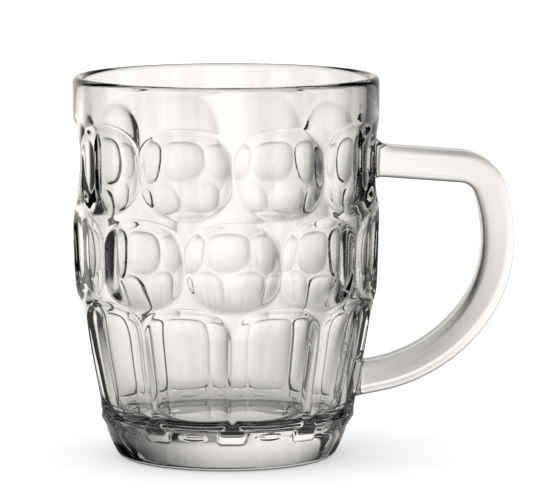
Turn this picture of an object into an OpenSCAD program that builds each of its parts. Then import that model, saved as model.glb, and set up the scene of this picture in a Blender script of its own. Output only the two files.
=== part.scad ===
// Dimpled glass beer mug: a pressed bowl and the handle that is fused to it.
// The bowl's axis is Z, it stands on Z = 0, and the handle is on the +X side.

/* [Bowl] */
// Height of the bowl from the table to the rim
bowl_height = 120; // [112:1:135]
// Outer radius of the upright wall
bowl_radius = 48.1; // [46.5:0.1:50]
// Height at which the upright wall starts to curve in
shoulder_height = 71; // [69:0.5:73]
// Radius of the curve from the upright wall into the tapered one
belly_radius = 200; // [190:5:215]
// Lean of the lower wall from the upright, in degrees
taper_angle = 11; // [10:0.25:12]
// Thickness of the wall at the rim, whose edge is a half round
rim_wall = 3.5; // [3:0.1:4.5]

/* [Foot] */
// Height of the plain band round the foot
foot_height = 9.4; // [8:0.1:10.5]
// How far the top of the foot band lies inside the ridges above it
foot_step = 1.9; // [1.6:0.05:2]
// Height of the slope from the foot band out to the ridges
nose_height = 4.2; // [3.5:0.1:5]
// Lean of the foot band at its top, in degrees
foot_lean = 16; // [14:0.5:18]
// Radius of the foot band's bulge, up and down
foot_bulge_radius = 36; // [32:1:42]
// Radius of the rounded edge under the foot
foot_edge_radius = 3; // [2:0.25:3.5]
// Width of the flat ring that the mug stands on
ring_width = 3; // [2:0.25:4]
// Depth of the shallow recess inside that ring
recess_depth = 1.2; // [0.8:0.1:2]

/* [Cavity] */
// Thickness of the base at its middle, down to the table
base_thickness = 12.8; // [11:0.1:15]
// Thickness of the wall from the shoulder down, measured to the ridges
lower_wall = 5.2; // [4.8:0.1:6]
// Radius of the rounded corner between the wall and the floor of the cavity
cavity_corner_radius = 9; // [6:0.5:11]

/* [Dimples] */
// Dimples in each of the two rings, and flutes below them
pattern_count = 10; // [8:1:10]
// Height of the middle of the upper ring
upper_ring_height = 93.3; // [92:0.1:95]
// Height of the middle of the lower ring
lower_ring_height = 65; // [64.5:0.1:65.5]
// Lean of a lower dimple, which follows the belly, in degrees
lower_ring_lean = 2; // [1:0.25:2.5]
// Depth of a dimple's flat floor at its middle
dimple_depth = 2.2; // [1.8:0.05:2.25]
// Height of the flat part of a dimple's floor
dimple_flat_height = 11.5; // [10:0.25:12]
// Hollow radius by which the floor rises at its top and bottom
dimple_end_radius = 14.4; // [12:0.2:15]

/* [Flutes] */
// Depth of a flute below the ridges
flute_depth = 1.9; // [1.6:0.05:1.95]
// Height at which a flute's straight floor starts to rise into its arched top
flute_top_height = 42.6; // [41:0.2:43.6]
// Height at which it starts to rise into its rounded lower end
flute_bottom_height = 20; // [18:0.5:22]
// Hollow radius of both ends
flute_end_radius = 17; // [15:0.5:19]

/* [Handle] */
// Thickness of the handle's bar, seen from the side
bar_thickness = 9.9; // [9:0.1:10.8]
// Width of the bar from side to side
bar_width = 13; // [11:0.1:14.5]
// Radius of the bar's rounded edges
bar_edge_radius = 2.2; // [1.6:0.1:3]
// Height of the middle of the bar where it leaves the bowl
handle_top_height = 93.1; // [92:0.1:95]
// Fall of the upper bar, in degrees
upper_bar_angle = 4.4; // [3:0.1:6]
// Length of the straight upper bar, outside the bowl
upper_bar_length = 25.8; // [24:0.1:28]
// Radius of the corner at the end of the upper bar
corner_radius = 10.4; // [9:0.1:12]
// Turn of that corner, in degrees
corner_turn = 66.4; // [64:0.1:69]
// Radius of the grip, which faces the fingers
grip_radius = 47.5; // [45:0.5:50]
// Turn of the grip, in degrees
grip_turn = 26.1; // [25:0.1:27]
// Radius of the bend below the grip
heel_radius = 39.8; // [38:0.2:42]
// Turn of the bend below the grip, in degrees
heel_turn = 30.6; // [29:0.1:32]
// Radius of the sweep back to the bowl
sweep_radius = 49; // [47.5:0.5:52]
// Turn of the sweep back to the bowl, in degrees
sweep_turn = 42; // [40:0.1:43]

/* [Handle roots] */
// Hollow radius that flares the top of each root into the bowl
root_top_flare = 4.7; // [3.5:0.1:5.5]
// Hollow radius under the upper root
upper_root_under_flare = 2.5; // [1.5:0.1:3.5]
// Hollow radius under the lower root
lower_root_under_flare = 0.9; // [0.5:0.1:1.5]
// Hollow radius on the two flanks of each root
root_side_flare = 2.6; // [1.5:0.1:3.5]

/* [Hidden] */
$fn = 96;
glass_colour = [0.86, 0.87, 0.86, 0.55];
pattern_pitch = 360 / pattern_count;
// A cutter is only as wide as a dimple needs
cutter_share = 0.7;
cutter_width = bowl_radius * cutter_share;
half_cutter = cutter_width / 2;
half_bar = bar_thickness / 2;
half_bar_width = bar_width / 2;

// The belly's curve runs into the straight tapered wall here
taper_height = shoulder_height - belly_radius * sin(taper_angle);
taper_radius = bowl_radius - belly_radius * (1 - cos(taper_angle));
nose_top_height = foot_height + nose_height;

// Radius of the ridges on the straight tapered wall at height z
function wall_radius(z) = taper_radius - (taper_height - z) * tan(taper_angle);
// Radius of the ridges on the belly's curve at height z
function belly_at(z) =
    bowl_radius - belly_radius + sqrt(pow(belly_radius, 2) - pow(shoulder_height - z, 2));

// Middle of the foot band's bulge, which passes through the top of the band
foot_radius = wall_radius(foot_height) - foot_step;
foot_bulge_x = foot_radius - foot_bulge_radius * cos(foot_lean);
foot_bulge_z = foot_height + foot_bulge_radius * sin(foot_lean);
// Middle of the rounded edge, which touches the table and the bulge
foot_edge_x = foot_bulge_x
    + sqrt(pow(foot_bulge_radius - foot_edge_radius, 2) - pow(foot_bulge_z - foot_edge_radius, 2));
edge_touch_height = foot_bulge_z
    - (foot_bulge_z - foot_edge_radius) * foot_bulge_radius / (foot_bulge_radius - foot_edge_radius);
recess_edge_radius = foot_edge_x - ring_width;
recess_hollow_radius = (pow(recess_edge_radius, 2) + pow(recess_depth, 2)) / (2 * recess_depth);

rim_edge_radius = rim_wall / 2;
rim_edge_height = bowl_height - rim_edge_radius;
// Middle of the cavity's rounded corner, which touches its floor and its tapered wall
cavity_corner_height = base_thickness + cavity_corner_radius;
cavity_corner_x = wall_radius(cavity_corner_height) - (lower_wall + cavity_corner_radius) / cos(taper_angle);
corner_touch_x = cavity_corner_x + cavity_corner_radius * cos(taper_angle);
corner_touch_height = cavity_corner_height - cavity_corner_radius * sin(taper_angle);
// Upper end of the cavity's tapered wall, where its own belly curve starts
cavity_taper_x = taper_radius - lower_wall * cos(taper_angle);
cavity_taper_height = taper_height + lower_wall * sin(taper_angle);

// How far the bar runs on into the bowl before its seats are cut
root_sink = rim_wall;
right_angle = 90;
half_turn = 180;
// Steps round each rounded corner of the bar, along each flare and along each bend
corner_steps = 5;
flare_steps = 5;
corner_bend_steps = 8;
long_bend_steps = 5;
sweep_bend_steps = 7;

// Half outline of the bowl without its cavity, dimples and flutes
module outline() {
    // Upright wall
    translate([0, shoulder_height])
        square([bowl_radius, rim_edge_height - shoulder_height]);
    // Belly
    intersection() {
        translate([bowl_radius - belly_radius, shoulder_height])
            circle(r = belly_radius, $fn = 720);
        translate([0, taper_height])
            square([bowl_radius, shoulder_height - taper_height]);
    }
    // Tapered wall, with the slope that the ridges end on
    polygon([
        [0, foot_height],
        [foot_radius, foot_height],
        [wall_radius(nose_top_height), nose_top_height],
        [taper_radius, taper_height],
        [0, taper_height]
    ]);
    // Foot band and its rounded lower edge
    intersection() {
        translate([foot_bulge_x, foot_bulge_z])
            circle(r = foot_bulge_radius, $fn = 360);
        translate([0, edge_touch_height])
            square([bowl_radius, foot_height - edge_touch_height]);
    }
    translate([foot_edge_x, foot_edge_radius])
        circle(r = foot_edge_radius);
    square([foot_edge_x, foot_height]);
}

// Half outline of the space inside the bowl
module cavity() {
    // Upper part, with a slight draft down to the shoulder
    polygon([
        [0, shoulder_height],
        [bowl_radius - lower_wall, shoulder_height],
        [bowl_radius - rim_wall, rim_edge_height],
        [0, rim_edge_height]
    ]);
    // Belly
    intersection() {
        translate([bowl_radius - belly_radius, shoulder_height])
            circle(r = belly_radius - lower_wall, $fn = 720);
        translate([0, cavity_taper_height])
            square([bowl_radius, shoulder_height - cavity_taper_height]);
    }
    // Tapered wall, rounded corner and floor
    polygon([
        [0, corner_touch_height],
        [corner_touch_x, corner_touch_height],
        [cavity_taper_x, cavity_taper_height],
        [0, cavity_taper_height]
    ]);
    translate([cavity_corner_x, cavity_corner_height])
        circle(r = cavity_corner_radius);
    translate([0, base_thickness])
        square([cavity_corner_x, cavity_corner_radius]);
}

// Half outline of the glass, with its rounded rim and the recess in its base
module wall_section() {
    difference() {
        outline();
        cavity();
        translate([0, recess_depth - recess_hollow_radius])
            circle(r = recess_hollow_radius, $fn = 720);
    }
    translate([bowl_radius - rim_edge_radius, rim_edge_height])
        circle(r = rim_edge_radius);
}

// Bar across the bowl's side, which cuts one hollow. Its inner face is the hollow's floor, at the given
// distance from the axis: straight between two heights, and rising with a round at both ends.
module floor_cutter(floor_distance, low, high, end_radius) {
    translate([floor_distance, half_cutter, 0])
        rotate([right_angle, 0, 0])
            linear_extrude(cutter_width) {
                for (end = [low, high])
                    translate([end_radius, end])
                        circle(r = end_radius, $fn = 180);
                translate([0, low])
                    square([end_radius, high - low]);
            }
}

module dimple(ring_height, ridge_radius, lean) {
    half_flat = dimple_flat_height / 2;
    translate([0, 0, ring_height])
        rotate([0, lean, 0])
            floor_cutter(ridge_radius - dimple_depth, -half_flat, half_flat, dimple_end_radius);
}

module upper_dimple() {
    dimple(upper_ring_height, bowl_radius, 0);
}

module lower_dimple() {
    dimple(lower_ring_height, belly_at(lower_ring_height), lower_ring_lean);
}

module flute() {
    translate([wall_radius(flute_top_height) - flute_depth, 0, flute_top_height])
        rotate([0, taper_angle, 0])
            floor_cutter(0, (flute_bottom_height - flute_top_height) / cos(taper_angle), 0, flute_end_radius);
}

// Repeats one cutter all round the bowl
module all_round() {
    for (i = [0 : pattern_count - 1])
        rotate([0, 0, i * pattern_pitch])
            children();
}

module bowl() {
    color(glass_colour)
        difference() {
            difference() {
                difference() {
                    rotate_extrude()
                        wall_section();
                    all_round()
                        upper_dimple();
                }
                all_round()
                    flute();
            }
            rotate([0, 0, pattern_pitch / 2])
                all_round()
                    lower_dimple();
        }
}

// A place on the middle line of the handle's bar is [x, z, heading], with the heading in degrees up from +X
function ahead(place, length) = [
    place[0] + length * cos(place[2]),
    place[1] + length * sin(place[2]),
    place[2]
];
function round_bend(place, radius, turn) = [
    place[0] + radius * (sin(place[2]) - sin(place[2] - turn)),
    place[1] - radius * (cos(place[2]) - cos(place[2] - turn)),
    place[2] - turn
];

// Growth of a root at a distance from the bowl: a hollow quarter round
function flare(gap, size) =
    gap >= size ? 0 : gap <= 0 ? size : size - sqrt(pow(size, 2) - pow(size - gap, 2));

// A ring of the bar is [place, lean of its plane in degrees, flares outside, inside and at the flanks]
upper_seat = [bowl_radius, handle_top_height, -upper_bar_angle];
corner_start = ahead(upper_seat, upper_bar_length);
grip_start = round_bend(corner_start, corner_radius, corner_turn);
heel_start = round_bend(grip_start, grip_radius, grip_turn);
sweep_start = round_bend(heel_start, heel_radius, heel_turn);
sweep_end = round_bend(sweep_start, sweep_radius, sweep_turn);
// The last stretch is straight, up to the tapered wall
lower_bar_length = (sweep_end[0] - wall_radius(sweep_end[1]))
    / (sin(sweep_end[2]) * tan(taper_angle) - cos(sweep_end[2]));
upper_lean = upper_bar_angle;
lower_lean = -taper_angle - half_turn - sweep_end[2];

function upper_ring(gap) = [
    ahead(upper_seat, gap),
    upper_lean * (1 - gap / upper_bar_length),
    flare(gap, root_top_flare),
    flare(gap, upper_root_under_flare),
    flare(gap, root_side_flare)
];
function lower_ring(gap) = [
    ahead(sweep_end, lower_bar_length - gap),
    lower_lean * (1 - gap / lower_bar_length),
    flare(gap, lower_root_under_flare),
    flare(gap, root_top_flare),
    flare(gap, root_side_flare)
];
function bend_rings(start, radius, turn, count) = [
    for (i = [1 : count]) [round_bend(start, radius, turn * i / count), 0, 0, 0, 0]
];
root_gaps = [for (i = [0 : flare_steps]) root_top_flare * (1 - cos(right_angle * i / flare_steps))];

bar_rings = concat(
    [upper_ring(-root_sink)],
    [for (gap = root_gaps) upper_ring(gap)],
    [upper_ring(upper_bar_length)],
    bend_rings(corner_start, corner_radius, corner_turn, corner_bend_steps),
    bend_rings(grip_start, grip_radius, grip_turn, long_bend_steps),
    bend_rings(heel_start, heel_radius, heel_turn, long_bend_steps),
    bend_rings(sweep_start, sweep_radius, sweep_turn, sweep_bend_steps),
    [for (i = [flare_steps : -1 : 0]) lower_ring(root_gaps[i])],
    [lower_ring(-root_sink)]
);

// Points round the bar at one ring: from its outer side over one flank to its inner side, and back
function ring_points(ring) = let (
    place = ring[0],
    up = place[2] + right_angle + ring[1],
    outer = half_bar / cos(ring[1]) + ring[2],
    inner = half_bar / cos(ring[1]) + ring[3],
    side = half_bar_width + ring[4]
) [
    for (corner = [0 : 3], i = [0 : corner_steps]) let (
        turn = corner * right_angle + right_angle * i / corner_steps,
        across = (corner == 0 || corner == 3 ? outer : -inner),
        sideways = (corner < 2 ? side : -side),
        u = across + bar_edge_radius * (cos(turn) - sign(across)),
        v = sideways + bar_edge_radius * (sin(turn) - sign(sideways))
    ) [place[0] + u * cos(up), v, place[1] + u * sin(up)]
];

// Closed tube through the rings, all of which have the same number of points
module tube(rings) {
    points = [for (ring = rings) each ring_points(ring)];
    n = len(ring_points(rings[0]));
    last = len(rings) - 1;
    polyhedron(
        points = points,
        faces = concat(
            [[for (k = [n - 1 : -1 : 0]) k]],
            [
                for (i = [0 : last - 1], k = [0 : n - 1]) let (
                    a = i * n + k,
                    b = i * n + (k + 1) % n
                ) each [[a, b, b + n], [a, b + n, a + n]]
            ],
            [[for (k = [0 : n - 1]) last * n + k]]
        )
    );
}

module handle() {
    color(glass_colour)
        difference() {
            tube(bar_rings);
            // The bowl's outside at the handle, which both roots sit on
            difference() {
                rotate_extrude()
                    outline();
                upper_dimple();
                flute();
            }
        }
}

bowl();
handle();
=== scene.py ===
# A dimpled glass beer mug: a pressed bowl with a handle fused to its side.
# Lengths are in millimetres and become metres when a mesh is made. The camera and the studio are in metres.
import math

import bpy
import numpy as np
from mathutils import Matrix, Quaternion, Vector


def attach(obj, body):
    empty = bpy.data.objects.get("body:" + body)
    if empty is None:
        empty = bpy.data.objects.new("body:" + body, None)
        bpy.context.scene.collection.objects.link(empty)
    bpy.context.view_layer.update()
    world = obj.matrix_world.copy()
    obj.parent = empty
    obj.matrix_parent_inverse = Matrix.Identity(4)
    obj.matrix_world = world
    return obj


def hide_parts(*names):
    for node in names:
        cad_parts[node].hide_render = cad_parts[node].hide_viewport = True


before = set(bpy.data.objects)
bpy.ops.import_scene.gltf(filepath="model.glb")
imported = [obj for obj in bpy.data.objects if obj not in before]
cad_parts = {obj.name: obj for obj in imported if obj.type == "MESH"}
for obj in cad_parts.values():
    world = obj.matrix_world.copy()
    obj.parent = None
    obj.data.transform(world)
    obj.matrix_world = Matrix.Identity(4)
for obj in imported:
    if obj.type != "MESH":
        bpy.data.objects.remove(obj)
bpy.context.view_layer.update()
print("frame loaded, nodes:", sorted(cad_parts))

millimetre = 0.001

bowl = {
    "height": 120.0,
    "radius": 48.1,            # upright wall
    "shoulderHeight": 71.0,    # the wall starts to curve in here
    "bellyRadius": 200.0,      # curve from the upright wall into the tapered one
    "taperAngle": 11.0,        # lean of the lower wall, in degrees
    "rimWall": 3.5,            # thickness at the rim, which is a half round
    "footHeight": 9.4,         # plain band round the foot
    "footStep": 1.9,           # how far the band lies inside the ridges
    "bandLean": 17.0,          # of the band's upper part, between the ridges
    "noseHeight": 4.2,         # slope from the band out to the ridges
    "noseHalfTurn": 5.6,       # half width of a ridge where it ends in the band, in degrees
    "noseSide": 1.6,           # width of its rounded sides, in degrees
    "bandRise": 2.0,           # how fast the band's outline leaves the wall above the noses
    "bandRounding": 0.3,       # how softly the wall goes over into the band
    "nickHeight": 11.3,        # middle of the small nick in the band below each flute
    "nickHalfHeight": 1.1,
    "nickHalfTurn": 6.4,
    "nickDepth": 0.45,
    "footLean": 16.0,          # of the foot's side where it meets the band, in degrees
    "footBulgeRadius": 36.0,
    "footEdgeRadius": 3.0,
    "ringWidth": 3.0,          # flat ring that the mug stands on
    "recessDepth": 1.2,
    "recessRadius": 18.0,      # the hollow under the base, whose edge falls away over the next length
    "recessEdge": 2.6,
    "recessFoot": 0.3,         # height at the foot of that edge, from where the base slopes out to the ring
    "baseThickness": 12.8,
    "lowerWall": 5.2,
    "cavityCornerRadius": 7.0,
    "columns": 400,            # points round a ring, a multiple of twice the count of dimples
    "wallRows": 128,
    "footRows": 26,            # closer rows, which end a little above the noses
    "footRowsPast": 1.5,
    "recessRows": 9,
}

# Each hollow is a dish. The shares of the way to its outline, across and along, are each raised to the
# cornerPower and summed, and the dish is its full depth times 1 less that sum, raised so that the depth
# falls with the flankPower of the share. A low cornerPower gives round corners, and a high flankPower
# gives a flat floor with steep flanks.
dimples = {
    "count": 10,
    "upperHeight": 93.3,
    "lowerHeight": 65.0,
    "depth": 2.5,
    "halfTurn": 17.8,          # from the middle to the outline at either side, in degrees
    "halfHeight": 13.9,
    "cornerPower": 2.5,
    "flankPower": 3.2,
    "ridgeRounding": 0.16,     # how softly the ridges between hollows are rounded
}
shareLimit = 1.5               # a share of the way to an outline counts as no more than this

flutes = {
    "depth": 2.3,
    "halfTurn": 17.8,
    "top": 40.6,               # a flute keeps its section between these two heights
    "bottom": 20.5,
    "topEnd": 11.5,            # length of the rounded end above, and of the one below
    "bottomEnd": 8.0,
    "cornerPower": 2.7,
    "flankPower": 4.3,
    "ridgeRounding": 0.16,
}

handle = {
    "thickness": 9.9,
    "width": 13.0,
    "edgeRadius": 2.2,
    "topHeight": 93.1,
    "upperFall": 4.4,          # slope of the upper bar, in degrees
    "upperLength": 25.8,
    "bends": ((10.4, 66.4), (47.5, 26.1), (39.8, 30.6), (49.0, 42.0)),   # radius and degrees of each
    "topFlare": 4.7,           # hollow radius over each root
    "upperUnderFlare": 2.5,
    "lowerUnderFlare": 0.9,
    "sideFlare": 2.6,
    "cornerPoints": 12,
    "ringStep": 1.1,           # between rings along the handle
    "rootRings": 9,            # closer rings over the flare of each root, and the gap that follows them
    "rootGap": 1.5,
    "slideFade": 8.0,          # length over which an end is bent to meet the bowl
    "leastAcross": 0.5,        # least share of the slide that counts as going straight at the bowl
    "capShares": (0.75, 0.5, 0.25),   # size of the rings that fill each end
}
surfaceRounds = 10             # repeats that bring a point on to the bowl's surface
slideRounds = 12               # repeats that bring a handle's end on to it

camera = {
    "lens": 270.3,
    "sensor": 36,
    "distance": 1.300,
    "elevation": 7.43,         # this angle and the next two are in degrees
    "azimuth": -2.5,
    "roll": 0.1,
    "aimHeight": 0.060,
    "clip": (0.01, 100),
    "frameWidth": 550,         # in pixels
    "frameHeight": 500,
    "aimPixel": (226.30, 265.20),   # where the bowl's axis at aimHeight shows
}


def smoothLeast(first, second, softness):
    # the lower of two values, with a parabola where they come within the softness of each other
    near = np.clip(softness - np.abs(first - second), 0, None)
    return np.minimum(first, second) - near ** 2 / (4 * softness)


def easeInOut(share):
    # a share from 0 to 1 that starts and ends gently
    return share ** 2 * (3 - 2 * share)


def arcPoints(centreX, centreZ, radius, startAngle, endAngle, count):
    # points on a circle's arc, with angles in degrees from +X
    turn = np.radians(np.linspace(startAngle, endAngle, count))
    return np.stack([centreX + radius * np.cos(turn), centreZ + radius * np.sin(turn)], 1)


def linePoints(start, end, count):
    share = np.linspace(0, 1, count)[:, None]
    return (1 - share) * np.array(start) + share * np.array(end)


taperTan = math.tan(math.radians(bowl["taperAngle"]))
taperCos = math.cos(math.radians(bowl["taperAngle"]))
taperSin = math.sin(math.radians(bowl["taperAngle"]))
taperHeight = bowl["shoulderHeight"] - bowl["bellyRadius"] * taperSin
taperRadius = bowl["radius"] - bowl["bellyRadius"] * (1 - taperCos)


def wallRadius(z):
    # upright above the shoulder, a circle's arc below it, then a straight taper
    drop = np.clip(bowl["shoulderHeight"] - z, 0, None)
    belly = bowl["radius"] - bowl["bellyRadius"] + np.sqrt(bowl["bellyRadius"] ** 2 - drop ** 2)
    taper = taperRadius - (taperHeight - z) * taperTan
    return np.where(z < taperHeight, taper, belly)


def nearestAngle(angle, offset):
    # angle to the nearest hollow of a ring, which starts at the offset
    pitch = 2 * math.pi / dimples["count"]
    return (angle - offset + pitch / 2) % pitch - pitch / 2


def dish(across, along, shape):
    # depth of a hollow below the plain wall, which turns negative past its outline
    reach = (np.minimum(np.abs(across), shareLimit) ** shape["cornerPower"]
             + np.minimum(np.abs(along), shareLimit) ** shape["cornerPower"])
    return shape["depth"] * (1 - reach ** (shape["flankPower"] / shape["cornerPower"]))


def outerRadius(angle, z):
    # the plain wall's radius, less the two rings of dimples and the flutes
    wall = wallRadius(z)
    radius = wall
    half = math.pi / dimples["count"]
    halfTurn = math.radians(dimples["halfTurn"])
    for height, offset in ((dimples["upperHeight"], 0), (dimples["lowerHeight"], half)):
        hollow = dish(nearestAngle(angle, offset) / halfTurn, (z - height) / dimples["halfHeight"], dimples)
        radius = smoothLeast(radius, wall - hollow, dimples["ridgeRounding"])
    past = (np.clip(z - flutes["top"], 0, None) / flutes["topEnd"]
            + np.clip(flutes["bottom"] - z, 0, None) / flutes["bottomEnd"])
    hollow = dish(nearestAngle(angle, 0) / math.radians(flutes["halfTurn"]), past, flutes)
    return smoothLeast(radius, wall - hollow, flutes["ridgeRounding"])


def ontoBowl(x, y, z):
    # X of points on the bowl's outside that have these Y and Z, found by repeats from a first X
    for attempt in range(surfaceRounds):
        x = np.sqrt(np.clip(outerRadius(np.arctan2(y, x), z) ** 2 - y ** 2, 1, None))
    return x


def makePiece(name, points, faces, faceSlots, materials, node):
    mesh = bpy.data.meshes.new(name)
    mesh.from_pydata(points * millimetre, [], faces)
    for material in materials:
        mesh.materials.append(material)
    mesh.polygons.foreach_set("material_index", np.asarray(faceSlots, np.int32))
    mesh.polygons.foreach_set("use_smooth", np.ones(len(faces), bool))
    mesh.update()
    piece = bpy.data.objects.new(name, mesh)
    bpy.context.scene.collection.objects.link(piece)
    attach(piece, "root")
    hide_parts(node)


def gridFaces(rows, columns):
    # quads between neighbouring rows of a grid whose rows run round
    row, column = np.meshgrid(np.arange(rows - 1), np.arange(columns), indexing="ij")
    first = row * columns + column
    second = row * columns + (column + 1) % columns
    return np.stack([first, second, second + columns, first + columns], -1).reshape(-1, 4)


def walkLine():
    # the handle's middle line: a straight bar, four bends and a straight end that meets the tapered wall
    place = np.array([bowl["radius"], handle["topHeight"]])
    heading = -handle["upperFall"]
    runs = [("line", place, heading, handle["upperLength"], 0)]
    turn = math.radians(heading)
    place = place + handle["upperLength"] * np.array([math.cos(turn), math.sin(turn)])
    for radius, bend in handle["bends"]:
        runs.append(("bend", place, heading, radius, bend))
        first, last = math.radians(heading), math.radians(heading - bend)
        place = place + radius * np.array([math.sin(first) - math.sin(last),
                                           math.cos(last) - math.cos(first)])
        heading -= bend
    turn = math.radians(heading)
    length = (place[0] - wallRadius(place[1])) / (math.sin(turn) * taperTan - math.cos(turn))
    runs.append(("line", place, heading, length, 0))
    return runs


def lineStations(runs, step):
    # place, heading and distance from the start at even steps along the middle line, and its full length
    places, headings, lengths = [], [], []
    walked = 0.0
    for number, (kind, place, heading, size, bend) in enumerate(runs, 1):
        length = size if kind == "line" else size * math.radians(bend)
        count = max(2, int(round(length / step)) + 1)
        along = np.linspace(0, length, count)
        if kind == "line":
            turn = np.full(count, math.radians(heading))
            spot = place + along[:, None] * np.stack([np.cos(turn), np.sin(turn)], 1)
        else:
            turn = math.radians(heading) - along / size
            spot = place + size * np.stack([math.sin(math.radians(heading)) - np.sin(turn),
                                            np.cos(turn) - math.cos(math.radians(heading))], 1)
        # the last point of a run is the first of the next one
        keep = slice(0, count if number == len(runs) else count - 1)
        places.append(spot[keep])
        headings.append(turn[keep])
        lengths.append(walked + along[keep])
        walked += length
    return np.concatenate(places), np.concatenate(headings), np.concatenate(lengths), walked


def roundedOutline(outer, inner, side, edge, count):
    # a rectangle with rounded corners for each ring, as up and sideways values
    up, sideways = [], []
    quarter = np.linspace(0, math.pi / 2, count)
    for corner in range(4):
        turn = quarter + corner * math.pi / 2
        upSign = 1 if corner in (0, 3) else -1
        sideSign = 1 if corner < 2 else -1
        upReach = outer if upSign > 0 else inner
        up.append(upSign * upReach[:, None] + edge * (np.cos(turn) - upSign))
        sideways.append(sideSign * side[:, None] + edge * (np.sin(turn) - sideSign))
    return np.concatenate(up, 1), np.concatenate(sideways, 1)


def flareAt(gap, size):
    # growth of a root at a distance from the bowl: a hollow quarter round
    inside = np.clip(size - gap, 0, size)
    return np.where(gap < size, size - np.sqrt(np.clip(size ** 2 - inside ** 2, 0, None)), 0)


def handleRings():
    runs = walkLine()
    places, headings, lengths, total = lineStations(runs, handle["ringStep"])
    # the roots need closer rings, so the stations near both ends are taken again
    flare = handle["topFlare"]
    nearRoot = flare + handle["rootGap"]
    rootShare = 1 - np.cos(np.linspace(0, math.pi / 2, handle["rootRings"]))
    between = lengths[(lengths > nearRoot) & (lengths < total - nearRoot)]
    wanted = np.concatenate([rootShare * flare, between, total - rootShare[::-1] * flare])
    x = np.interp(wanted, lengths, places[:, 0])
    z = np.interp(wanted, lengths, places[:, 1])
    heading = np.interp(wanted, lengths, np.unwrap(headings))
    firstGap, lastGap = wanted, total - wanted
    upperLean = math.radians(handle["upperFall"])
    lowerLean = math.radians(-bowl["taperAngle"] - 180) - heading[-1]
    lean = (upperLean * np.clip(1 - firstGap / handle["upperLength"], 0, 1)
            + lowerLean * np.clip(1 - lastGap / runs[-1][3], 0, 1))
    half = handle["thickness"] / 2 / np.cos(lean)
    outer = half + flareAt(firstGap, flare) + flareAt(lastGap, handle["lowerUnderFlare"])
    inner = half + flareAt(firstGap, handle["upperUnderFlare"]) + flareAt(lastGap, flare)
    side = (handle["width"] / 2 + flareAt(firstGap, handle["sideFlare"])
            + flareAt(lastGap, handle["sideFlare"]))
    up, sideways = roundedOutline(outer, inner, side, handle["edgeRadius"], handle["cornerPoints"])
    turn = heading + math.pi / 2 + lean
    points = np.stack([x[:, None] + up * np.cos(turn)[:, None], sideways,
                       z[:, None] + up * np.sin(turn)[:, None]], -1)
    # each end is slid along its heading until it lies on the bowl's surface, and the slide fades further on
    for end, gap, sign in ((0, firstGap, 1), (-1, lastGap, -1)):
        direction = np.array([math.cos(heading[end]), 0, math.sin(heading[end])]) * sign
        slide = np.zeros(points.shape[1])
        for attempt in range(slideRounds):
            spot = points[end] + slide[:, None] * direction
            radius = np.hypot(spot[:, 0], spot[:, 1])
            wanting = outerRadius(np.arctan2(spot[:, 1], spot[:, 0]), spot[:, 2]) - radius
            slide = slide + wanting / max(handle["leastAcross"], direction[0])
        fade = easeInOut(1 - np.clip(gap / handle["slideFade"], 0, 1))
        points = points + (fade[:, None] * slide[None, :])[..., None] * direction
    return points


ringPoints = handleRings()
print("handle rings:", ringPoints.shape)


def seatDistance(y, z, outline):
    # distance to a closed outline in the (y, z) plane, negative inside it, and the outline's nearest point
    tiny = 1e-12
    start = outline
    end = np.roll(outline, -1, 0)
    run = end - start
    spot = np.stack([y, z], -1)[:, None, :]
    share = np.clip(((spot - start) * run).sum(-1) / np.maximum((run ** 2).sum(-1), tiny), 0, 1)
    nearest = start + share[..., None] * run
    away = spot - nearest
    distance = np.sqrt((away ** 2).sum(-1))
    best = distance.argmin(1)
    rows = np.arange(len(y))
    crossing = (start[:, 1] > spot[..., 1]) != (end[:, 1] > spot[..., 1])
    slope = run[:, 0] / np.where(np.abs(run[:, 1]) < tiny, tiny, run[:, 1])
    left = spot[..., 0] < start[:, 0] + (spot[..., 1] - start[:, 1]) * slope
    inside = (crossing & left).sum(1) % 2 == 1
    return np.where(inside, -1, 1) * distance[rows, best], nearest[rows, best]


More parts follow.
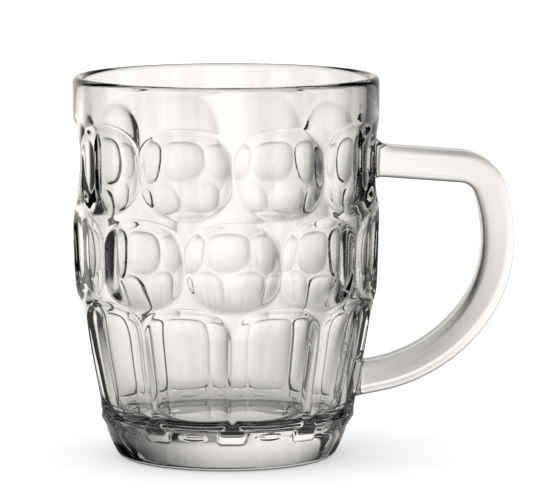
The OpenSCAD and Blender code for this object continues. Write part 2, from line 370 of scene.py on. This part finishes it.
def bowlProfile():
    # the section from the middle of the base, round the foot, up the wall, over the rim and down the inside:
    # the points below the wall, the heights of the wall's rows and the points above the wall. The last value
    # of each line or arc is its count of points.
    footRadius = taperRadius - (taperHeight - bowl["footHeight"]) * taperTan - bowl["footStep"]
    lean = math.radians(bowl["footLean"])
    bulgeX = footRadius - bowl["footBulgeRadius"] * math.cos(lean)
    bulgeZ = bowl["footHeight"] + bowl["footBulgeRadius"] * math.sin(lean)
    edge = bowl["footEdgeRadius"]
    edgeX = bulgeX + math.sqrt((bowl["footBulgeRadius"] - edge) ** 2 - (bulgeZ - edge) ** 2)
    touch = math.degrees(math.atan2(edge - bulgeZ, edgeX - bulgeX))
    recessX = edgeX - bowl["ringWidth"]
    recess = bowl["recessDepth"]
    edgeShare = np.linspace(0, 1, bowl["recessRows"])
    noseTop = bowl["footHeight"] + bowl["noseHeight"]
    rimEdge = bowl["rimWall"] / 2
    corner = bowl["cavityCornerRadius"]
    cornerZ = bowl["baseThickness"] + corner
    cornerX = taperRadius - (taperHeight - cornerZ) * taperTan - (bowl["lowerWall"] + corner) / taperCos
    innerBelly = bowl["bellyRadius"] - bowl["lowerWall"]
    below = np.concatenate([
        linePoints((0, recess), (bowl["recessRadius"], recess), 5),
        np.stack([bowl["recessRadius"] + edgeShare * bowl["recessEdge"],
                  recess + easeInOut(edgeShare) * (bowl["recessFoot"] - recess)], 1)[1:],
        linePoints((bowl["recessRadius"] + bowl["recessEdge"], bowl["recessFoot"]), (recessX, 0), 5)[1:],
        linePoints((recessX, 0), (edgeX, 0), 4)[1:],
        arcPoints(edgeX, edge, edge, -90, touch, 8)[1:],
        arcPoints(bulgeX, bulgeZ, bowl["footBulgeRadius"], touch, -bowl["footLean"], 10)[1:],
    ])
    closeRowsTop = noseTop + bowl["footRowsPast"]
    wallHeights = np.concatenate([
        np.linspace(bowl["footHeight"], closeRowsTop, bowl["footRows"])[1:],
        np.linspace(closeRowsTop, bowl["height"] - rimEdge, bowl["wallRows"])[1:],
    ])
    above = np.concatenate([
        arcPoints(bowl["radius"] - rimEdge, bowl["height"] - rimEdge, rimEdge, 0, 180, 13)[1:],
        linePoints((bowl["radius"] - bowl["rimWall"], bowl["height"] - rimEdge),
                   (bowl["radius"] - bowl["lowerWall"], bowl["shoulderHeight"]), 8)[1:],
        arcPoints(bowl["radius"] - bowl["bellyRadius"], bowl["shoulderHeight"], innerBelly,
                  0, -bowl["taperAngle"], 9)[1:],
        linePoints((taperRadius - bowl["lowerWall"] * taperCos, taperHeight + bowl["lowerWall"] * taperSin),
                   (cornerX + corner * taperCos, cornerZ - corner * taperSin), 5)[1:],
        arcPoints(cornerX, cornerZ, corner, -bowl["taperAngle"], -90, 12)[1:],
        linePoints((cornerX, bowl["baseThickness"]), (0, bowl["baseThickness"]), 6)[1:],
    ])
    return below, wallHeights, above, footRadius, noseTop


def buildBowl():
    below, wallHeights, above, footRadius, noseTop = bowlProfile()
    columns = bowl["columns"]
    wallStep = wallHeights[-1] - wallHeights[-2]
    angle = np.arange(columns) * 2 * math.pi / columns
    # the wall's rows: the dimpled wall, which near the foot slopes in to the band
    turn, z = np.meshgrid(angle, wallHeights)
    dimpled = outerRadius(turn, z)
    # the band goes on up between the ridges, and each ridge ends in a nose that slopes in to it
    fromRidge = np.degrees(np.abs(nearestAngle(turn, math.pi / dimples["count"])))
    noseShare = (bowl["noseHalfTurn"] + bowl["noseSide"] / 2 - fromRidge) / bowl["noseSide"]
    nose = easeInOut(np.clip(noseShare, 0, 1))
    rise = np.clip(z - bowl["footHeight"], 0, None)
    bandTan = math.tan(math.radians(bowl["bandLean"]))
    step = bowl["footStep"] / bowl["noseHeight"] - (bandTan - taperTan)
    band = footRadius + rise * bandTan + nose * rise * step
    band = band + np.clip(z - noseTop, 0, None) * bowl["bandRise"]
    dimpled = smoothLeast(dimpled, band, bowl["bandRounding"])
    fromFlute = np.degrees(np.abs(nearestAngle(turn, 0)))
    nick = (1 - (fromFlute / bowl["nickHalfTurn"]) ** 2
            - ((z - bowl["nickHeight"]) / bowl["nickHalfHeight"]) ** 2)
    dimpled = dimpled - bowl["nickDepth"] * np.sqrt(np.clip(nick, 0, 1))
    wall = np.stack([dimpled * np.cos(turn), dimpled * np.sin(turn), z], -1)
    # the grid is drawn on to the outline of each root, so that the seats have clean edges
    margin, farOff = 2.0, 50.0
    flat = wall.reshape(-1, 3)
    signed = np.full(len(flat), farOff)
    for outline in (ringPoints[0][:, 1:], ringPoints[-1][:, 1:]):
        low, high = outline.min(0) - margin, outline.max(0) + margin
        close = np.where((flat[:, 0] > 0) & (flat[:, 1] > low[0]) & (flat[:, 1] < high[0])
                         & (flat[:, 2] > low[1]) & (flat[:, 2] < high[1]))[0]
        distance, nearest = seatDistance(flat[close, 1], flat[close, 2], outline)
        # a point moves if the outline passes within half a cell of the grid, so that no two points meet
        away = np.abs(nearest - flat[close, 1:])
        halfColumn = flat[close, 0] * math.pi / columns
        snap = (away[:, 0] < halfColumn) & (away[:, 1] < wallStep / 2)
        moved = close[snap]
        y, height = nearest[snap, 0], nearest[snap, 1]
        flat[moved] = np.stack([ontoBowl(flat[moved, 0], y, height), y, height], -1)
        distance[snap] = 0
        signed[close] = distance
    wall = flat.reshape(wall.shape)
    signed = signed.reshape(wall.shape[:2])

    def ringRows(profile):
        return np.stack([profile[:, None, 0] * np.cos(angle), profile[:, None, 0] * np.sin(angle),
                         np.repeat(profile[:, 1:], columns, 1)], -1)

    rows = np.concatenate([ringRows(below[1:]), wall, ringRows(above[:-1])])
    count = len(rows)
    points = np.concatenate([rows.reshape(-1, 3), [[0, 0, below[0, 1]], [0, 0, above[-1, 1]]]])
    quads = gridFaces(count, columns)
    bottom, top = len(points) - 2, len(points) - 1
    around = np.arange(columns)
    following = (around + 1) % columns
    firstFan = np.stack([np.full(columns, bottom), following, around], 1)
    last = (count - 1) * columns
    lastFan = np.stack([np.full(columns, top), last + around, last + following], 1)
    # a quad is part of a seat where no corner lies outside the root's outline
    onOutline = 1e-6
    allSigned = np.full(count * columns, farOff)
    start = (len(below) - 1) * columns
    allSigned[start:start + wall.shape[0] * columns] = signed.ravel()
    corners = allSigned[quads]
    seat = (corners.max(1) <= onOutline) & (corners.min(1) < 0)
    faces = quads.tolist() + firstFan.tolist() + lastFan.tolist()
    slots = np.concatenate([seat.astype(int), np.zeros(2 * columns, int)])
    print("bowl faces:", len(faces), "seat faces:", int(seat.sum()))
    return points, faces, slots


def buildHandle():
    rings, around = ringPoints.shape[:2]
    # the rings run so that their quads look inward, and are turned to look outward
    quads = gridFaces(rings, around)[:, ::-1]
    groups = [ringPoints.reshape(-1, 3)]
    caps = []
    for end, ring in ((0, ringPoints[0]), (1, ringPoints[-1])):
        # each cap is rings drawn in to its middle, laid on the bowl's surface
        middle = ring[:, 1:].mean(0)
        start = sum(len(group) for group in groups)
        previous = np.arange(around) + end * (rings - 1) * around
        for layer, share in enumerate(handle["capShares"]):
            y, z = (middle + share * (ring[:, 1:] - middle)).T
            groups.append(np.stack([ontoBowl(ring[:, 0], y, z), y, z], -1))
            current = start + layer * around + np.arange(around)
            quad = np.stack([previous, np.roll(previous, -1), np.roll(current, -1), current], 1)
            caps.append(quad if end == 0 else quad[:, ::-1])
            previous = current
        groups.append(np.array([[ontoBowl(bowl["radius"], *middle), *middle]]))
        centre = np.full(around, start + len(handle["capShares"]) * around)
        fan = np.stack([previous, np.roll(previous, -1), centre], 1)
        caps.append(fan if end == 0 else fan[:, ::-1])
    capFaces = [face for cap in caps for face in cap.tolist()]
    slots = np.concatenate([np.zeros(len(quads), int), np.ones(len(capFaces), int)])
    return np.concatenate(groups), quads.tolist() + capFaces, slots


pressedGlass = {
    "bending": 1.52,           # index of refraction
    "clear": (0.99, 0.99, 0.985),
    "streak": (0.975, 0.975, 0.965),   # colour of the faint streaks in the glass
    "bowlWave": 0.00010,       # height of the waves in metres
    "bowlWaveScale": 45.0,     # waves in a metre
    "handleWave": 0.00012,
    "handleWaveScale": 60.0,
    "streakStretch": (1, 1, 0.15),     # makes the streaks long and upright
}


def makeWaviness():
    # the uneven skin of pressed glass: slow waves that tilt the surface, and a mask of faint streaks
    tree = bpy.data.node_groups.new("waviness", "ShaderNodeTree")
    tree.interface.new_socket("Vector", in_out="INPUT", socket_type="NodeSocketVector")
    tree.interface.new_socket("Scale", in_out="INPUT", socket_type="NodeSocketFloat")
    tree.interface.new_socket("Height", in_out="INPUT", socket_type="NodeSocketFloat")
    tree.interface.new_socket("Normal", in_out="OUTPUT", socket_type="NodeSocketVector")
    tree.interface.new_socket("Streaks", in_out="OUTPUT", socket_type="NodeSocketFloat")
    source = tree.nodes.new("NodeGroupInput")
    result = tree.nodes.new("NodeGroupOutput")
    waves = tree.nodes.new("ShaderNodeTexNoise")
    waves.inputs["Detail"].default_value = 1
    tree.links.new(source.outputs["Vector"], waves.inputs["Vector"])
    tree.links.new(source.outputs["Scale"], waves.inputs["Scale"])
    bump = tree.nodes.new("ShaderNodeBump")
    bump.inputs["Strength"].default_value = 1
    tree.links.new(source.outputs["Height"], bump.inputs["Distance"])
    tree.links.new(waves.outputs[0], bump.inputs["Height"])
    tree.links.new(bump.outputs["Normal"], result.inputs["Normal"])
    stretch = tree.nodes.new("ShaderNodeMapping")
    stretch.inputs["Scale"].default_value = pressedGlass["streakStretch"]
    tree.links.new(source.outputs["Vector"], stretch.inputs["Vector"])
    streaks = tree.nodes.new("ShaderNodeTexNoise")
    tree.links.new(stretch.outputs[0], streaks.inputs["Vector"])
    tree.links.new(source.outputs["Scale"], streaks.inputs["Scale"])
    tree.links.new(streaks.outputs[0], result.inputs["Streaks"])
    return tree


def clearMaterial(name, bending):
    material = bpy.data.materials.new(name)
    material.use_nodes = True
    shader = material.node_tree.nodes["Principled BSDF"]
    shader.inputs["Base Color"].default_value = (1, 1, 1, 1)
    shader.inputs["Roughness"].default_value = 0
    shader.inputs["IOR"].default_value = bending
    shader.inputs["Transmission Weight"].default_value = 1
    return material


def glassMaterial(name, waviness, scale, height):
    material = clearMaterial(name, pressedGlass["bending"])
    tree = material.node_tree
    shader = tree.nodes["Principled BSDF"]
    where = tree.nodes.new("ShaderNodeTexCoord")
    uneven = tree.nodes.new("ShaderNodeGroup")
    uneven.node_tree = waviness
    uneven.inputs["Scale"].default_value = scale
    uneven.inputs["Height"].default_value = height
    tree.links.new(where.outputs["Object"], uneven.inputs["Vector"])
    tree.links.new(uneven.outputs["Normal"], shader.inputs["Normal"])
    tint = tree.nodes.new("ShaderNodeMix")
    tint.data_type = "RGBA"
    tint.inputs["A"].default_value = (*pressedGlass["clear"], 1)
    tint.inputs["B"].default_value = (*pressedGlass["streak"], 1)
    tree.links.new(uneven.outputs["Streaks"], tint.inputs["Factor"])
    tree.links.new(tint.outputs["Result"], shader.inputs["Base Color"])
    return material


waviness = makeWaviness()
bowlGlass = glassMaterial("bowlGlass", waviness, pressedGlass["bowlWaveScale"], pressedGlass["bowlWave"])
handleGlass = glassMaterial("handleGlass", waviness, pressedGlass["handleWaveScale"],
                            pressedGlass["handleWave"])
# where the handle is fused to the bowl, nothing bends the light
fusedSeat = clearMaterial("fusedSeat", 1.0)
bowlPoints, bowlFaces, bowlSlots = buildBowl()
makePiece("bowl_glass", bowlPoints, bowlFaces, bowlSlots, [bowlGlass, fusedSeat], "bowl")
handlePoints, handleFaces, handleSlots = buildHandle()
makePiece("handle_glass", handlePoints, handleFaces, handleSlots, [handleGlass, fusedSeat],
          "handle")
print("pieces made")

studio = {
    "floorRadius": 6.0,        # lengths in metres
    "floorCorners": 64,
    "floorColour": (0.86, 0.86, 0.86),
    "floorLift": 0.35,         # light the floor adds for the camera, so that only the contact shadow stays
    "glassLight": (1.13, 1.095, 1.06),   # colour that the lit surroundings have in the glass
    # brightness of what stands round the mug, by the angle from straight behind it: (degrees, brightness)
    "panels": (
        (-180, 1.0), (-163, 0.95), (-158, 0.02), (-144, 0.02), (-141, 0.9), (-129, 0.9), (-126, 0.02),
        (-102, 0.02), (-98, 0.9), (-82, 0.9), (-78, 0.02), (-50, 0.02), (-44, 0.7), (-37, 1.0),
        (-14, 1.0), (0, 0.93), (6, 0.85), (12, 0.72), (18, 0.56), (25, 0.38), (38, 0.14), (52, 0.02),
        (78, 0.02), (82, 0.9), (98, 0.9), (102, 0.02), (127, 0.02), (130, 0.9), (141, 0.9),
        (144, 0.02), (158, 0.02), (163, 0.95)),
    "panelTop": 0.0,           # the panels fade from this upward share of a direction to the next one
    "ceiling": 0.6,
    "ceilingLight": 0.03,
    # painted shadow of the mug on the floor, as glass shows it: a dark ring under the ring it stands on, and
    # a floor that grows lighter further out: (distance out, brightness)
    "floorPaintedShadow": (
        (0.0, 0.6), (0.0215, 0.55), (0.0235, 0.01), (0.0405, 0.01), (0.043, 0.38), (0.07, 0.50),
        (0.13, 0.69), (0.2, 0.84), (0.35, 0.95), (0.6, 1.0)),
    "panelStart": 0.05,        # the panels begin to show on the floor this far out
    "panelFull": 0.22,         # and show fully from here
}


def addMath(tree, operation, first, second=None, third=None):
    # one Math node; a socket is linked and a number is set
    node = tree.nodes.new("ShaderNodeMath")
    node.operation = operation
    for place, value in enumerate((first, second, third)):
        if isinstance(value, bpy.types.NodeSocket):
            tree.links.new(value, node.inputs[place])
        elif value is not None:
            node.inputs[place].default_value = value
    return node.outputs[0]


def addRange(tree, value, low, high):
    # 0 up to the low value and 1 from the high one, with a smooth change between them
    node = tree.nodes.new("ShaderNodeMapRange")
    node.interpolation_type = "SMOOTHSTEP"
    node.inputs["From Min"].default_value = low
    node.inputs["From Max"].default_value = high
    tree.links.new(value, node.inputs["Value"])
    return node.outputs["Result"]


def addRamp(tree, value, stops, low, high):
    # a grey ColorRamp over the values from low to high, with a stop at each (value, brightness)
    ramp = tree.nodes.new("ShaderNodeValToRGB")
    elements = ramp.color_ramp.elements
    elements.remove(elements[-1])
    for place, (spot, light) in enumerate(stops):
        spot = (spot - low) / (high - low)
        element = elements[0] if place == 0 else elements.new(spot)
        element.position = spot
        element.color = (light, light, light, 1)
    share = addMath(tree, "MULTIPLY_ADD", value, 1 / (high - low), -low / (high - low))
    tree.links.new(share, ramp.inputs[0])
    return ramp.outputs["Color"]


def makePanels():
    # lit panels that stand round the mug: brightness in the direction of a vector, by its angle round Z
    tree = bpy.data.node_groups.new("litPanels", "ShaderNodeTree")
    tree.interface.new_socket("Direction", in_out="INPUT", socket_type="NodeSocketVector")
    tree.interface.new_socket("Brightness", in_out="OUTPUT", socket_type="NodeSocketFloat")
    source = tree.nodes.new("NodeGroupInput")
    result = tree.nodes.new("NodeGroupOutput")
    split = tree.nodes.new("ShaderNodeSeparateXYZ")
    tree.links.new(source.outputs["Direction"], split.inputs[0])
    angle = addMath(tree, "ARCTAN2", split.outputs["X"], split.outputs["Y"])
    angle = addMath(tree, "ADD", angle, math.radians(camera["azimuth"]))
    angle = addMath(tree, "WRAP", angle, math.pi, -math.pi)
    stops = [(math.radians(degrees), light) for degrees, light in studio["panels"]]
    light = addRamp(tree, angle, stops, -math.pi, math.pi)
    tree.links.new(light, result.inputs["Brightness"])
    return tree


def placePanels(tree, panels, direction):
    node = tree.nodes.new("ShaderNodeGroup")
    node.node_tree = panels
    tree.links.new(direction, node.inputs["Direction"])
    return node.outputs["Brightness"]


def throughGlass(tree):
    # 1 for light that comes by way of the glass, bent or mirrored
    path = tree.nodes.new("ShaderNodeLightPath")
    return addMath(tree, "MAXIMUM", path.outputs["Is Transmission Ray"], path.outputs["Is Glossy Ray"])


def mixValue(tree, factor, first, second):
    # first where the factor is 0 and second where it is 1
    return addMath(tree, "MULTIPLY_ADD", factor, addMath(tree, "SUBTRACT", second, first), first)


def buildFloor(panels):
    turn = np.linspace(0, 2 * math.pi, studio["floorCorners"], endpoint=False)
    rim = np.stack([np.cos(turn), np.sin(turn), 0 * turn], 1) * studio["floorRadius"]
    mesh = bpy.data.meshes.new("floor")
    mesh.from_pydata(rim.tolist(), [], [list(range(len(rim)))])
    floor = bpy.data.objects.new("floor", mesh)
    bpy.context.scene.collection.objects.link(floor)
    material = bpy.data.materials.new("floor")
    material.use_nodes = True
    tree = material.node_tree
    tree.nodes.clear()
    output = tree.nodes.new("ShaderNodeOutputMaterial")
    diffuse = tree.nodes.new("ShaderNodeBsdfDiffuse")
    diffuse.inputs["Color"].default_value = (*studio["floorColour"], 1)
    path = tree.nodes.new("ShaderNodeLightPath")
    lift = tree.nodes.new("ShaderNodeEmission")
    lift.inputs["Color"].default_value = (1, 1, 1, 1)
    lifted = addMath(tree, "MULTIPLY", path.outputs["Is Camera Ray"], studio["floorLift"])
    tree.links.new(lifted, lift.inputs["Strength"])
    plain = tree.nodes.new("ShaderNodeAddShader")
    tree.links.new(diffuse.outputs[0], plain.inputs[0])
    tree.links.new(lift.outputs[0], plain.inputs[1])
    where = tree.nodes.new("ShaderNodeTexCoord")
    glow = tree.nodes.new("ShaderNodeEmission")
    glow.inputs["Color"].default_value = (*studio["glassLight"], 1)
    away = tree.nodes.new("ShaderNodeVectorMath")
    away.operation = "LENGTH"
    tree.links.new(where.outputs["Object"], away.inputs[0])
    # the floor's painted shadow: dark under the mug's standing ring, lighter with the distance from the
    # middle
    near = addRamp(tree, away.outputs["Value"], studio["floorPaintedShadow"], 0, studio["floorPaintedShadow"][-1][0])
    panelLight = placePanels(tree, panels, where.outputs["Object"])
    far = addRange(tree, away.outputs["Value"], studio["panelStart"], studio["panelFull"])
    shown = addMath(tree, "MULTIPLY", near, mixValue(tree, far, 1.0, panelLight))
    tree.links.new(shown, glow.inputs["Strength"])
    mix = tree.nodes.new("ShaderNodeMixShader")
    tree.links.new(throughGlass(tree), mix.inputs[0])
    tree.links.new(plain.outputs[0], mix.inputs[1])
    tree.links.new(glow.outputs[0], mix.inputs[2])
    tree.links.new(mix.outputs[0], output.inputs["Surface"])
    mesh.materials.append(material)


def buildWorld(panels):
    world = bpy.data.worlds.new("studio")
    bpy.context.scene.world = world
    world.use_nodes = True
    tree = world.node_tree
    tree.nodes.clear()
    output = tree.nodes.new("ShaderNodeOutputWorld")
    background = tree.nodes.new("ShaderNodeBackground")
    where = tree.nodes.new("ShaderNodeTexCoord")
    split = tree.nodes.new("ShaderNodeSeparateXYZ")
    tree.links.new(where.outputs["Generated"], split.inputs[0])
    wall = placePanels(tree, panels, where.outputs["Generated"])
    high = addRange(tree, split.outputs["Z"], studio["panelTop"], studio["ceiling"])
    room = mixValue(tree, high, wall, studio["ceilingLight"])
    lit = tree.nodes.new("ShaderNodeBackground")
    lit.inputs["Color"].default_value = (*studio["glassLight"], 1)
    tree.links.new(room, lit.inputs["Strength"])
    background.inputs["Color"].default_value = (1, 1, 1, 1)
    mix = tree.nodes.new("ShaderNodeMixShader")
    tree.links.new(throughGlass(tree), mix.inputs[0])
    tree.links.new(background.outputs[0], mix.inputs[1])
    tree.links.new(lit.outputs[0], mix.inputs[2])
    tree.links.new(mix.outputs[0], output.inputs["Surface"])


def buildCamera():
    data = bpy.data.cameras.new("camera")
    data.sensor_width = camera["sensor"]
    data.lens = camera["lens"]
    data.clip_start, data.clip_end = camera["clip"]
    eye = bpy.data.objects.new("camera", data)
    bpy.context.scene.collection.objects.link(eye)
    turn, rise = math.radians(camera["azimuth"]), math.radians(camera["elevation"])
    back = Vector((math.sin(turn) * math.cos(rise), -math.cos(turn) * math.cos(rise), math.sin(rise)))
    eye.location = Vector((0, 0, camera["aimHeight"])) + back * camera["distance"]
    eye.rotation_mode = "QUATERNION"
    look = (-back).to_track_quat("-Z", "Y")
    eye.rotation_quaternion = look @ Quaternion((0, 0, 1), math.radians(-camera["roll"]))
    data.shift_x = (camera["frameWidth"] / 2 - camera["aimPixel"][0]) / camera["frameWidth"]
    data.shift_y = (camera["aimPixel"][1] - camera["frameHeight"] / 2) / camera["frameWidth"]
    bpy.context.scene.camera = eye


panels = makePanels()
buildFloor(panels)
buildWorld(panels)
buildCamera()
print("studio and camera made")
bpy.context.scene.view_settings.view_transform = "Standard"
